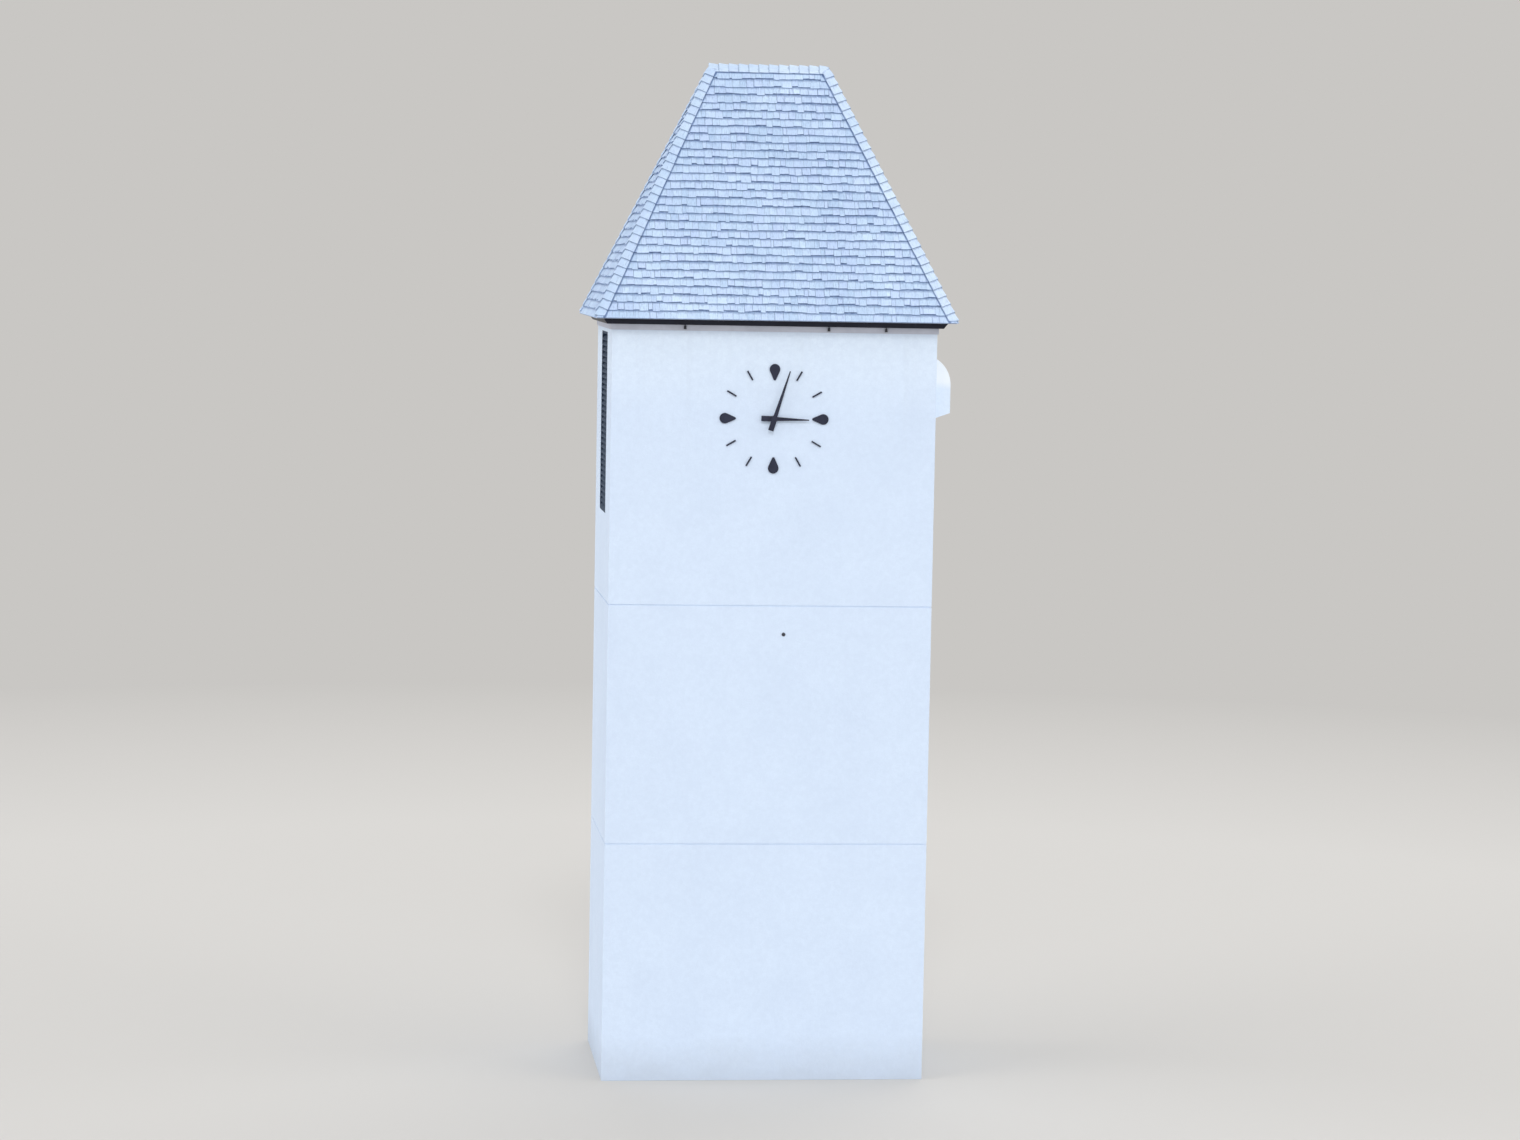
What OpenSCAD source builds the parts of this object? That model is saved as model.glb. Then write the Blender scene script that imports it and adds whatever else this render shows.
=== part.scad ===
// Clock tower: a white stucco shaft under a very steep hipped roof with a short ridge.
// Black markers and hands are fixed straight to the front wall. Left and right are as seen
// from the front, which faces -Y. The origin is at ground level under the middle of the shaft.

/* [Shaft] */
// Width of the shaft across the front
wall_w = 6500; // [5800:50:7400]
// Depth of the shaft from front to back
wall_d = 4100; // [3500:50:4900]
// Thickness of the stuccoed masonry walls
wall_t = 300; // [220:10:420]
// Height of the eave, at the lower edge of the roof covering
eave_z = 15300; // [13500:50:17000]
// Height of one lift of stucco between control joints
lift_h = 4800; // [4300:20:5200]
// Height of a control joint groove
joint_h = 20; // [10:1:30]
// Depth of a control joint groove
joint_deep = 14; // [6:1:25]

/* [Roof] */
// Rise of the roof planes from the eave to the ridge
roof_rise = 5050; // [4200:50:5600]
// Thickness of a roof panel, square to its slope
roof_t = 90; // [70:5:110]
// Distance from the wall face to the lower edge of the roof covering
eave_out = 340; // [280:10:420]
// Width of one wing of a hip cap, measured on the ground plan
cap_wing = 130; // [100:5:150]
// Width of one wing of the ridge cap, measured on the ground plan
ridge_wing = 80; // [60:5:100]
// Height of a cap over the roof panel, with the shingles under it, square to the slope
cap_t = 50; // [35:1:60]
// Upright clearance between the roof panels and the caps and fascias that meet them
cap_gap = 0.3; // [0.2:0.05:0.5]
// How far the hip caps run past the roof corner on plan
cap_past = 40; // [20:1:50]
// Height of the timber wall plate above the wall top
plate_h = 200; // [160:5:260]
// Width of the timber wall plate
plate_w = 220; // [150:5:220]
// Width on plan of the bevel where the wall plate carries the roof panel
plate_bevel = 40; // [20:1:60]

/* [Eave] */
// How far the fascia shows below the eave
fascia_h = 120; // [90:5:160]
// Thickness of the fascia, measured level
fascia_t = 34; // [20:1:38]
// How far the head of the fascia stands back from the lower edge of the roof covering
fascia_in = 146; // [130:2:160]
// How far the face of the fascia falls back from the eave to its foot
fascia_lean = 84; // [40:2:90]
// How far the fascia reaches below the soffit
fascia_drop = 25; // [10:1:35]
// Thickness of the soffit boards
soffit_t = 24; // [16:1:30]
// Height of the frieze board on the wall under the soffit
frieze_h = 140; // [100:5:180]
// Thickness of the frieze board
frieze_t = 25; // [15:1:35]
// Radius of an eave light
light_r = 30; // [22:1:32]
// Length of an eave light below the soffit
light_h = 110; // [80:5:150]

/* [Louvre] */
// Width of the tall louvred opening in the left wall
louvre_w = 1600; // [1200:50:2000]
// Height of the louvred opening
louvre_h = 3650; // [3000:50:4200]
// Distance from the eave down to the head of the louvred opening
louvre_down = 315; // [300:5:600]
// Depth of the louvre frame
frame_d = 120; // [90:5:150]
// Width of a frame member
frame_w = 50; // [35:1:70]
// How far the frame is set back in the opening
frame_in = 4; // [2:1:60]
// Distance between two blades
blade_pitch = 110; // [95:5:150]
// Thickness of the blade sheet
blade_t = 6; // [4:0.5:9]
// Height of the hems along the edges of a blade
hem_h = 30; // [14:1:36]

/* [Bay] */
// Width of the curved stucco bay on the right wall
bay_w = 1500; // [1000:50:2000]
// How far the bay stands out of the right wall
bay_out = 365; // [260:5:420]
// Distance from the front wall face back to the bay
bay_in = 500; // [300:25:1200]
// Height of the curved top of the bay
bay_crown = 560; // [400:10:700]
// Height of the upright face of the bay
bay_face = 560; // [400:10:800]
// Height of the sloping underside of the bay
bay_foot = 130; // [80:5:200]
// Distance from the eave down to the top of the bay
bay_down = 700; // [500:10:1200]

/* [Clock] */
// Distance from the eave down to the middle of the clock
clock_down = 1960; // [1700:10:2400]
// Outer radius of the ring of markers
dial_r = 1090; // [900:10:1250]
// Length of a teardrop marker at the quarters
drop_l = 325; // [240:5:420]
// Radius of the round end of a teardrop marker
drop_r = 105; // [80:1:130]
// Radius of the narrow end of a teardrop marker
drop_tip_r = 26; // [8:1:34]
// Length of a plain hour marker
tick_l = 210; // [150:5:280]
// Width of a plain hour marker
tick_w = 30; // [22:1:60]
// Thickness of all markers
marker_t = 25; // [15:1:35]
// Length of the minute hand from the centre to its tip
minute_l = 1000; // [850:10:1080]
// Length of the minute hand's tail
minute_tail = 245; // [180:5:280]
// Length of the hour hand from the centre to its tip
hour_l = 700; // [560:10:760]
// Length of the hour hand's tail
hour_tail = 260; // [180:5:280]
// Width of a hand's blade at its hub
hand_w = 82; // [60:1:110]
// Width of a hand at its tip
hand_tip_w = 22; // [16:1:50]
// Width of a hand's tail
tail_w = 108; // [80:1:112]
// Thickness of a hand's blade
hand_t = 12; // [8:1:18]
// Minutes past three that the hands show
minutes_past = 2.9; // [0:0.1:59.9]

/* [Arbors] */
// Radius of the minute hand's arbor
arbor_r = 16; // [12:0.5:20]
// Radius of the hour hand's tube
tube_r = 28; // [24:0.5:34]
// Radius of the fixed sleeve through the wall
sleeve_r = 44; // [40:0.5:50]
// Radius of the sleeve's flange on the wall
flange_r = 84; // [72:1:100]
// Thickness of the flange
flange_t = 16; // [12:1:22]
// Running clearance between a shaft and the tube around it
run_gap = 0.08; // [0.05:0.01:0.1]
// Clearance between faces that turn against each other
face_gap = 0.3; // [0.2:0.05:0.5]
// Thickness of a hand's hub
hub_t = 34; // [26:1:44]
// Radius of a hand's hub
hub_r = 64; // [58:1:72]
// Distance from the flange to the hour hand's hub
hub_off = 24; // [14:1:40]
// Thickness of a retaining collar behind the wall
collar_t = 20; // [14:1:26]

/* [Vent] */
// Radius of the small round vent low on the front wall
vent_r = 38; // [25:1:55]
// How far the vent stands out of the wall
vent_out = 26; // [15:1:40]
// Distance of the vent to the right of the middle
vent_x = 270; // [150:10:500]
// Distance from the eave down to the vent
vent_down = 6270; // [6000:10:6600]

/* [Hidden] */
$fn = 64;

// Slope of the roof planes as a tangent, with the same pitch on all four sides
roof_run = wall_d / 2 + eave_out;
roof_tan = roof_rise / roof_run;
roof_pitch = atan(roof_tan);
// A layer's thickness measured upright, and measured level
roof_up = roof_t / cos(roof_pitch);
roof_level = roof_t / sin(roof_pitch);
cap_up = cap_t / cos(roof_pitch);
// Half the length of the ridge
ridge_half = (wall_w - wall_d) / 2;
// Height of the roof panel's underside at a distance out from the wall face
function under_z(out) = eave_z + (eave_out - roof_level - out) * roof_tan;
seat_z = under_z(0);
plate_top = seat_z + plate_bevel * roof_tan;
wall_top = plate_top - plate_h;
soffit_z = eave_z - fascia_h + fascia_drop;
fascia_foot = eave_z - fascia_h;
fascia_face = eave_out - fascia_in;
// Distance from the wall to the back of the fascia at a height below the eave
function fascia_inner(z) = fascia_face - fascia_lean * (eave_z - z) / fascia_h - fascia_t;
// A length that clears the whole tower, for cuts and for runs trimmed to length by a mitre
reach = wall_w;
past = 1;
// Places of the three eave lights along the front
light_x = [-1810, 1060, 2210];
// The louvred opening
louvre_top = eave_z - louvre_down;
louvre_sill = louvre_top - louvre_h;
blade_rise = frame_d - 2 * blade_t;
blade_count = floor((louvre_h - 2 * frame_w - blade_rise - hem_h) / blade_pitch) + 1;
blade_margin = (louvre_h - 2 * frame_w - blade_rise - hem_h - (blade_count - 1) * blade_pitch) / 2;
// The bay's curved top is an arc that meets its upright face without a corner
bay_top = eave_z - bay_down;
crown_r = (bay_out * bay_out + bay_crown * bay_crown) / (2 * bay_out);
// The clock, with distances measured outwards from the wall face
clock_z = eave_z - clock_down;
minute_angle = 6 * minutes_past;
hour_angle = 90 + minutes_past / 2;
hour_back = flange_t + hub_off;
hour_front = hour_back + hub_t;
minute_back = hour_front + face_gap;
minute_front = minute_back + hub_t;
minute_blade = minute_front - hand_t;
hour_blade = hour_back + (hub_t - hand_t) / 2;

// A section drawn as distance outwards from the wall face and height, run along one side.
// turn is 0 for the front, 90 for the right, 180 for the back and 270 for the left.
module run(turn) {
  half = (turn == 0 || turn == 180) ? wall_d / 2 : wall_w / 2;
  rotate([0, 0, turn])
    translate([-reach, -half, 0])
      mirror([0, 1, 0])
        rotate([90, 0, 90])
          linear_extrude(2 * reach)
            children();
}

// Ground plan of what belongs to one side, trimmed on the 45 degree lines through the wall corners
module side_plan(turn) {
  front = turn == 0 || turn == 180;
  half = front ? wall_d / 2 : wall_w / 2;
  along = front ? wall_w / 2 : wall_d / 2;
  inner = front
    ? [[ridge_half, 0], [-ridge_half, 0]]
    : [[0, -ridge_half]];
  outer = [[-along - reach, -half - reach], [along + reach, -half - reach]];
  rotate(turn)
    polygon(concat(outer, inner));
}

// A run along one side with mitred ends
module mitred_run(turn) {
  intersection() {
    run(turn)
      children();
    linear_extrude(eave_z + 2 * roof_rise)
      side_plan(turn);
  }
}

// Section of a layer that lies above the roof plane by low and is up thick, measured upright
module slope_section(low, up, lower_end) {
  foot = eave_z - (lower_end - eave_out) * roof_tan + low;
  head = eave_z + (wall_w + eave_out) * roof_tan + low;
  polygon([[lower_end, foot], [lower_end, foot + up], [-wall_w, head + up], [-wall_w, head]]);
}

module roof_section() {
  inner = -wall_d / 2;
  polygon([[eave_out, eave_z], [inner, eave_z + roof_rise], [inner, eave_z + roof_rise - roof_up],
    [eave_out - roof_level, eave_z]]);
}

// Walls
module wall_block(size_x, size_y) {
  translate([-size_x / 2, -size_y / 2, 0])
    cube([size_x, size_y, wall_top]);
}

// Grooves of the control joints round the whole shaft
module joint_grooves() {
  for (level = [lift_h, 2 * lift_h])
    translate([0, 0, level])
      difference() {
        translate([-wall_w / 2 - past, -wall_d / 2 - past, -joint_h / 2])
          cube([wall_w + 2 * past, wall_d + 2 * past, joint_h]);
        translate([-wall_w / 2 + joint_deep, -wall_d / 2 + joint_deep, -joint_h])
          cube([wall_w - 2 * joint_deep, wall_d - 2 * joint_deep, 2 * joint_h]);
      }
}

module front_wall() {
  color("whitesmoke")
    difference() {
      translate([0, -(wall_d - wall_t) / 2, 0])
        wall_block(wall_w, wall_t);
      joint_grooves();
      on_dial()
        translate([0, 0, -wall_t - past])
          cylinder(r = sleeve_r + run_gap, h = wall_t + 2 * past);
    }
}

module back_wall() {
  color("whitesmoke")
    difference() {
      translate([0, (wall_d - wall_t) / 2, 0])
        wall_block(wall_w, wall_t);
      joint_grooves();
    }
}

module left_wall() {
  color("whitesmoke")
    difference() {
      translate([-(wall_w - wall_t) / 2, 0, 0])
        wall_block(wall_t, wall_d - 2 * wall_t);
      joint_grooves();
      translate([-wall_w / 2 - past, -louvre_w / 2, louvre_sill])
        cube([wall_t + 2 * past, louvre_w, louvre_h]);
    }
}

module right_wall() {
  color("whitesmoke")
    difference() {
      translate([(wall_w - wall_t) / 2, 0, 0])
        wall_block(wall_t, wall_d - 2 * wall_t);
      joint_grooves();
    }
}

// Curved stucco bay on the right wall
module bay_profile() {
  crown_z = bay_top - bay_crown;
  face_z = crown_z - bay_face;
  intersection() {
    translate([bay_out - crown_r, crown_z])
      circle(r = crown_r, $fn = 128);
    translate([0, crown_z])
      square([bay_out, bay_crown]);
  }
  polygon([[0, face_z - bay_foot], [bay_out, face_z], [bay_out, crown_z], [0, crown_z]]);
}

module right_bay() {
  color("whitesmoke")
    translate([wall_w / 2, -wall_d / 2 + bay_in + bay_w, 0])
      rotate([90, 0, 0])
        linear_extrude(bay_w)
          bay_profile();
}

// Wall plate: a timber on each wall, bevelled where the roof panels bear on it
module plate_section() {
  polygon([[0, wall_top], [0, seat_z], [-plate_bevel, plate_top], [-plate_w, plate_top], [-plate_w, wall_top]]);
}

module wall_plate(turn) {
  color("burlywood")
    mitred_run(turn)
      plate_section();
}

module wall_plate_front() {
  wall_plate(0);
}

module wall_plate_back() {
  wall_plate(180);
}

module wall_plate_left() {
  wall_plate(270);
}

module wall_plate_right() {
  wall_plate(90);
}

// Roof panels, mitred at the hips and butted at the ridge
module roof_panel(turn) {
  color("lightsteelblue")
    mitred_run(turn)
      roof_section();
}

module roof_front() {
  roof_panel(0);
}

module roof_back() {
  roof_panel(180);
}

module roof_left() {
  roof_panel(270);
}

module roof_right() {
  roof_panel(90);
}

// Ground plan of the strip that a hip cap covers, for the hip at the front left corner
module hip_strip() {
  corner = [-wall_w / 2 - eave_out, -wall_d / 2 - eave_out];
  translate(corner)
    rotate(45)
      translate([-2 * cap_past, -cap_wing])
        square([roof_run * sqrt(2) + 4 * cap_past, 2 * cap_wing]);
}

// Ground plan of everything within the quarter of the front left corner, less the ridge cap
module hip_plan() {
  difference() {
    intersection() {
      hip_strip();
      translate([-wall_w, -wall_w])
        square([wall_w - ridge_half + cap_wing * sqrt(2), wall_w]);
    }
    translate([-ridge_half, -ridge_wing])
      square([wall_w, 2 * ridge_wing]);
  }
}

// One wing on the front slope and one on the left slope
module hip_cap() {
  color("aliceblue")
    for (turn = [0, 270])
      intersection() {
        mitred_run(turn)
          slope_section(cap_gap, cap_up - cap_gap, eave_out + cap_past);
        linear_extrude(eave_z + 2 * roof_rise)
          hip_plan();
      }
}

module hip_cap_front_left() {
  hip_cap();
}

module hip_cap_front_right() {
  mirror([1, 0, 0])
    hip_cap();
}

module hip_cap_back_left() {
  mirror([0, 1, 0])
    hip_cap();
}

module hip_cap_back_right() {
  mirror([1, 0, 0])
    mirror([0, 1, 0])
      hip_cap();
}

module ridge_cap() {
  low_z = eave_z + roof_rise + cap_gap;
  top_z = eave_z + roof_rise + cap_up;
  drop = ridge_wing * roof_tan;
  color("aliceblue")
    translate([-ridge_half, 0, 0])
      rotate([90, 0, 90])
        linear_extrude(2 * ridge_half)
          polygon([[-ridge_wing, low_z - drop], [0, low_z], [ridge_wing, low_z - drop], [ridge_wing, top_z - drop],
            [0, top_z], [-ridge_wing, top_z - drop]]);
}

// Fascia: upright behind the roof's edge, with its head bevelled to the underside of the roof
// panel, and leaning back below the eave
module fascia_section() {
  head_back = fascia_face - fascia_t;
  foot_back = fascia_inner(fascia_foot);
  polygon([[foot_back, fascia_foot], [head_back, eave_z], [head_back, under_z(head_back) - cap_gap],
    [fascia_face, under_z(fascia_face) - cap_gap], [fascia_face, eave_z], [foot_back + fascia_t, fascia_foot]]);
}

module fascia(turn) {
  color("midnightblue")
    mitred_run(turn)
      fascia_section();
}

module fascia_front() {
  fascia(0);
}

module fascia_back() {
  fascia(180);
}

module fascia_left() {
  fascia(270);
}

module fascia_right() {
  fascia(90);
}

// Soffit boards close the eave between the wall and the fascia, bevelled to the fascia's back
module soffit(turn) {
  soffit_top = soffit_z + soffit_t;
  color("darkgray")
    mitred_run(turn)
      polygon([[0, soffit_z], [fascia_inner(soffit_z), soffit_z], [fascia_inner(soffit_top), soffit_top],
        [0, soffit_top]]);
}

module soffit_front() {
  soffit(0);
}

module soffit_back() {
  soffit(180);
}

module soffit_left() {
  soffit(270);
}

module soffit_right() {
  soffit(90);
}

// Frieze boards on the wall under the soffit
module frieze(turn) {
  color("thistle")
    mitred_run(turn)
      translate([0, soffit_z - frieze_h])
        square([frieze_t, frieze_h]);
}

module frieze_front() {
  frieze(0);
}

module frieze_back() {
  frieze(180);
}

module frieze_left() {
  frieze(270);
}

module frieze_right() {
  frieze(90);
}

// Small dark lights under the front soffit, each a rose, a stem and a shade
module eave_light() {
  rose_h = light_h / 8;
  stem_h = light_h / 4;
  rotate([180, 0, 0])
    rotate_extrude()
      polygon([[0, 0], [light_r * 0.8, 0], [light_r * 0.8, rose_h], [light_r * 0.3, rose_h],
        [light_r * 0.3, rose_h + stem_h], [light_r * 0.7, rose_h + stem_h], [light_r, light_h], [0, light_h]]);
}

module eave_lights() {
  color("dimgray")
    for (x = light_x)
      translate([x, -wall_d / 2 - (frieze_t + fascia_inner(soffit_z)) / 2, soffit_z])
        eave_light();
}

// Louvre: a frame in the opening of the left wall and blades between its posts
module louvre_frame() {
  front_x = -wall_w / 2 + frame_in;
  color("darkslategray")
    difference() {
      translate([front_x, -louvre_w / 2, louvre_sill])
        cube([frame_d, louvre_w, louvre_h]);
      translate([front_x - past, -louvre_w / 2 + frame_w, louvre_sill + frame_w])
        cube([frame_d + 2 * past, louvre_w - 2 * frame_w, louvre_h - 2 * frame_w]);
    }
}

// Section of a blade: it rises inwards at 45 degrees, with a hem turned down outside and up inside
module blade_section() {
  t = blade_t;
  deep = frame_d - 2 * t;
  polygon([[0, 0], [t, 0], [t, hem_h - t], [deep + t, hem_h - t + deep], [deep + t, hem_h + deep],
    [deep, hem_h + deep], [deep, hem_h + deep - t], [0, hem_h]]);
}

module louvre_blades() {
  first_z = louvre_sill + frame_w + blade_margin;
  color("slategray")
    for (i = [0 : blade_count - 1])
      translate([-wall_w / 2 + frame_in + blade_t / 2, louvre_w / 2 - frame_w, first_z + i * blade_pitch])
        rotate([90, 0, 0])
          linear_extrude(louvre_w - 2 * frame_w)
            blade_section();
}

// Small round vent low on the front wall, with a domed hood made of two steps
module wall_vent() {
  color("dimgray")
    translate([vent_x, -wall_d / 2, eave_z - vent_down])
      rotate([90, 0, 0])
        rotate_extrude()
          polygon([[0, 0], [vent_r, 0], [vent_r, vent_out * 0.4], [vent_r * 0.7, vent_out],
            [0, vent_out]]);
}

// Frame of the dial: X to the right, Y up the wall and Z outwards from its face
module on_dial() {
  translate([0, -wall_d / 2, clock_z])
    rotate([90, 0, 0])
      children();
}

// A bar that narrows from one round end to the other, with straight sides that meet both ends
module tapered_bar(length, low_r, high_r) {
  lean = asin((low_r - high_r) / length);
  circle(r = low_r);
  translate([0, length])
    circle(r = high_r);
  polygon([[low_r * cos(lean), low_r * sin(lean)], [high_r * cos(lean), length + high_r * sin(lean)],
    [-high_r * cos(lean), length + high_r * sin(lean)], [-low_r * cos(lean), low_r * sin(lean)]]);
}

// Teardrop marker, with its round end outwards
module teardrop() {
  translate([0, dial_r - drop_r])
    rotate(180)
      tapered_bar(drop_l - drop_r - drop_tip_r, drop_r, drop_tip_r);
}

module quarter_markers() {
  color("darkslategray")
    on_dial()
      linear_extrude(marker_t)
        for (i = [0 : 3])
          rotate(-90 * i)
            teardrop();
}

module hour_markers() {
  color("darkslategray")
    on_dial()
      linear_extrude(marker_t)
        for (i = [0 : 11])
          if (i % 3 != 0)
            rotate(-30 * i)
              translate([-tick_w / 2, dial_r - tick_l])
                square([tick_w, tick_l]);
}

// Fixed sleeve through the wall, with a flange on the wall face
module wall_sleeve() {
  color("gray")
    on_dial()
      difference() {
        union() {
          translate([0, 0, -wall_t])
            cylinder(r = sleeve_r, h = wall_t + flange_t);
          cylinder(r = flange_r, h = flange_t);
        }
        translate([0, 0, -wall_t - past])
          cylinder(r = tube_r + run_gap, h = wall_t + flange_t + 2 * past);
      }
}

// Hour tube: turns in the sleeve, with a shoulder in front of it and a collar behind it
module hour_tube() {
  color("silver")
    on_dial()
      difference() {
        union() {
          translate([0, 0, -wall_t - face_gap - collar_t])
            cylinder(r = tube_r, h = wall_t + face_gap + collar_t + hour_back);
          translate([0, 0, -wall_t - face_gap - collar_t])
            cylinder(r = sleeve_r, h = collar_t);
          translate([0, 0, flange_t + face_gap])
            cylinder(r = sleeve_r, h = hub_off - face_gap);
        }
        translate([0, 0, -wall_t - face_gap - collar_t - past])
          cylinder(r = arbor_r + run_gap, h = wall_t + collar_t + hour_back + 2 * past + face_gap);
      }
}

module hour_hand() {
  color("darkslategray")
    on_dial()
      difference() {
        union() {
          translate([0, 0, hour_back])
            cylinder(r = hub_r, h = hub_t);
          translate([0, 0, hour_blade])
            linear_extrude(hand_t)
              rotate(-hour_angle)
                hand_outline(hour_l, hour_tail);
        }
        translate([0, 0, hour_back - past])
          cylinder(r = arbor_r + run_gap, h = hub_t + 2 * past);
      }
}

// Outline of a hand that points up: a tapered blade and a shorter tail of even width
module hand_outline(length, tail) {
  tapered_bar(length - hand_tip_w / 2, hand_w / 2, hand_tip_w / 2);
  translate([-tail_w / 2, -tail])
    square([tail_w, tail]);
}

// Minute arbor: turns in the hour tube, with a collar behind it
module minute_arbor() {
  tail_z = -wall_t - 2 * face_gap - 2 * collar_t;
  color("silver")
    on_dial() {
      translate([0, 0, tail_z])
        cylinder(r = arbor_r, h = minute_back - tail_z);
      translate([0, 0, tail_z])
        cylinder(r = tube_r, h = collar_t);
    }
}

module minute_hand() {
  color("darkslategray")
    on_dial() {
      translate([0, 0, minute_back])
        cylinder(r = hub_r, h = hub_t);
      translate([0, 0, minute_blade])
        linear_extrude(hand_t)
          rotate(-minute_angle)
            hand_outline(minute_l, minute_tail);
    }
}

front_wall();
back_wall();
left_wall();
right_wall();
right_bay();
wall_plate_front();
wall_plate_back();
wall_plate_left();
wall_plate_right();
roof_front();
roof_back();
roof_left();
roof_right();
hip_cap_front_left();
hip_cap_front_right();
hip_cap_back_left();
hip_cap_back_right();
ridge_cap();
fascia_front();
fascia_back();
fascia_left();
fascia_right();
soffit_front();
soffit_back();
soffit_left();
soffit_right();
frieze_front();
frieze_back();
frieze_left();
frieze_right();
eave_lights();
louvre_frame();
louvre_blades();
wall_vent();
quarter_markers();
hour_markers();
wall_sleeve();
hour_tube();
hour_hand();
minute_arbor();
minute_hand();
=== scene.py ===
import math
import bpy
import bmesh
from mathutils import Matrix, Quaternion, Vector


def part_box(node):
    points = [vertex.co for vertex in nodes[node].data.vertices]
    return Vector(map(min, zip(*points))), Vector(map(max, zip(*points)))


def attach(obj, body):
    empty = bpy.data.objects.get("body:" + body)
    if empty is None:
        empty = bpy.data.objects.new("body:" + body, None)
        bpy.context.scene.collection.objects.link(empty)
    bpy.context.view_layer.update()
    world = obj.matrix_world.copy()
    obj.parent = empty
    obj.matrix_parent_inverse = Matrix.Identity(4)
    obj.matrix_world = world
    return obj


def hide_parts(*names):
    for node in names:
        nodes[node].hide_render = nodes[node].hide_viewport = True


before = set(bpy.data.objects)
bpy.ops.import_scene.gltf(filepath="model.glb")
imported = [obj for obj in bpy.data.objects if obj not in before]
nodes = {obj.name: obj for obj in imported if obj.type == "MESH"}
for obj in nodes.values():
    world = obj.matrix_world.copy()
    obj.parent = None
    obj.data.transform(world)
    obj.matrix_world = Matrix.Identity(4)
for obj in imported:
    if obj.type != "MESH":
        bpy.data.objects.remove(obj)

scene = bpy.context.scene
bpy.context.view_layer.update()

# What the solids say about the tower, in metres
roofLow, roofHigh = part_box("roof_front")
wallLow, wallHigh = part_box("front_wall")
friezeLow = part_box("frieze_front")[0]
bayLow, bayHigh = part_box("right_bay")
tower = {
    "eaveHalfX": roofHigh.x,
    "eaveHalfY": -roofLow.y,
    "eaveZ": roofLow.z,
    "ridgeZ": roofHigh.z,
    "wallHalfX": wallHigh.x,
    "wallFrontY": wallLow.y,
    "friezeFoot": friezeLow.z,
    "bayFoot": bayLow.z,
    "bayHeight": bayHigh.z - bayLow.z,
}
tower["eaveOut"] = tower["eaveHalfX"] - tower["wallHalfX"]
tower["ridgeHalf"] = tower["eaveHalfX"] - tower["eaveHalfY"]
tower["slopeLength"] = math.hypot(tower["ridgeZ"] - tower["eaveZ"], tower["eaveHalfY"])
tower["cosPitch"] = tower["eaveHalfY"] / tower["slopeLength"]
tower["sinPitch"] = (tower["ridgeZ"] - tower["eaveZ"]) / tower["slopeLength"]
tower["hipLength"] = math.hypot(tower["slopeLength"], tower["eaveHalfY"])
print("tower: eave at", round(tower["eaveZ"], 3), "ridge at", round(tower["ridgeZ"], 3))


# A colour as it looks on screen, each part from 0 to 255
def paint(red, green, blue):
    parts = []
    for value in (red / 255, green / 255, blue / 255):
        parts.append(value / 12.92 if value <= 0.04045 else ((value + 0.055) / 1.055) ** 2.4)
    return (*parts, 1.0)


# One output of a node, with the sums that the trees below are written in
class Wire:
    def __init__(self, tree, socket):
        self.tree = tree
        self.socket = socket

    def maths(self, operation, *others):
        node = self.tree.nodes.new("ShaderNodeMath")
        node.operation = operation
        for place, value in enumerate((self, *others)):
            plug(self.tree, value, node.inputs[place])
        return Wire(self.tree, node.outputs[0])

    def vectorMaths(self, operation, other=None, scale=None):
        node = self.tree.nodes.new("ShaderNodeVectorMath")
        node.operation = operation
        plug(self.tree, self, node.inputs[0])
        if other is not None:
            plug(self.tree, other, node.inputs[1])
        if scale is not None:
            plug(self.tree, scale, node.inputs["Scale"])
        return Wire(self.tree, node.outputs["Value" if operation == "LENGTH" else "Vector"])

    def __add__(self, other):
        return self.maths("ADD", other)

    def __sub__(self, other):
        return self.maths("SUBTRACT", other)

    def __mul__(self, other):
        return self.maths("MULTIPLY", other)

    def __truediv__(self, other):
        return self.maths("DIVIDE", other)

    def atMost(self, other):
        return self.maths("MINIMUM", other)

    def atLeast(self, other):
        return self.maths("MAXIMUM", other)

    def rest(self):
        return self * -1.0 + 1.0

    def mixTo(self, other, share):
        return self + (other - self) * share

    def ramp(self, fromLow, fromHigh, toLow=0.0, toHigh=1.0):
        node = addNode(self.tree, "ShaderNodeMapRange", {
            "Value": self, "From Min": fromLow, "From Max": fromHigh, "To Min": toLow, "To Max": toHigh})
        return Wire(self.tree, node.outputs[0])

    # times and plus are for vectors
    def times(self, amount):
        return self.vectorMaths("SCALE", scale=amount)

    def plus(self, other):
        return self.vectorMaths("ADD", other)


def plug(tree, value, socket):
    if isinstance(value, Wire):
        tree.links.new(value.socket, socket)
    else:
        socket.default_value = value


def addNode(tree, kind, inputs=None, **settings):
    node = tree.nodes.new(kind)
    for name, value in settings.items():
        setattr(node, name, value)
    for name, value in (inputs or {}).items():
        plug(tree, value, node.inputs[name])
    return node


def wireOf(tree, node, output=0):
    return Wire(tree, node.outputs[output])


def splitVector(tree, vector):
    node = addNode(tree, "ShaderNodeSeparateXYZ", {0: vector})
    return [Wire(tree, node.outputs[axis]) for axis in range(3)]


def joinVector(tree, x, y, z):
    return wireOf(tree, addNode(tree, "ShaderNodeCombineXYZ", {0: x, 1: y, 2: z}))


def noiseOf(tree, place, scale, detail, roughness):
    return wireOf(tree, addNode(tree, "ShaderNodeTexNoise", {
        "Vector": place, "Scale": scale, "Detail": detail, "Roughness": roughness}), "Fac")


# Geometry trees

socketKinds = {
    float: "NodeSocketFloat",
    int: "NodeSocketInt",
    tuple: "NodeSocketVector",
    str: "NodeSocketMaterial",
}


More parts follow.
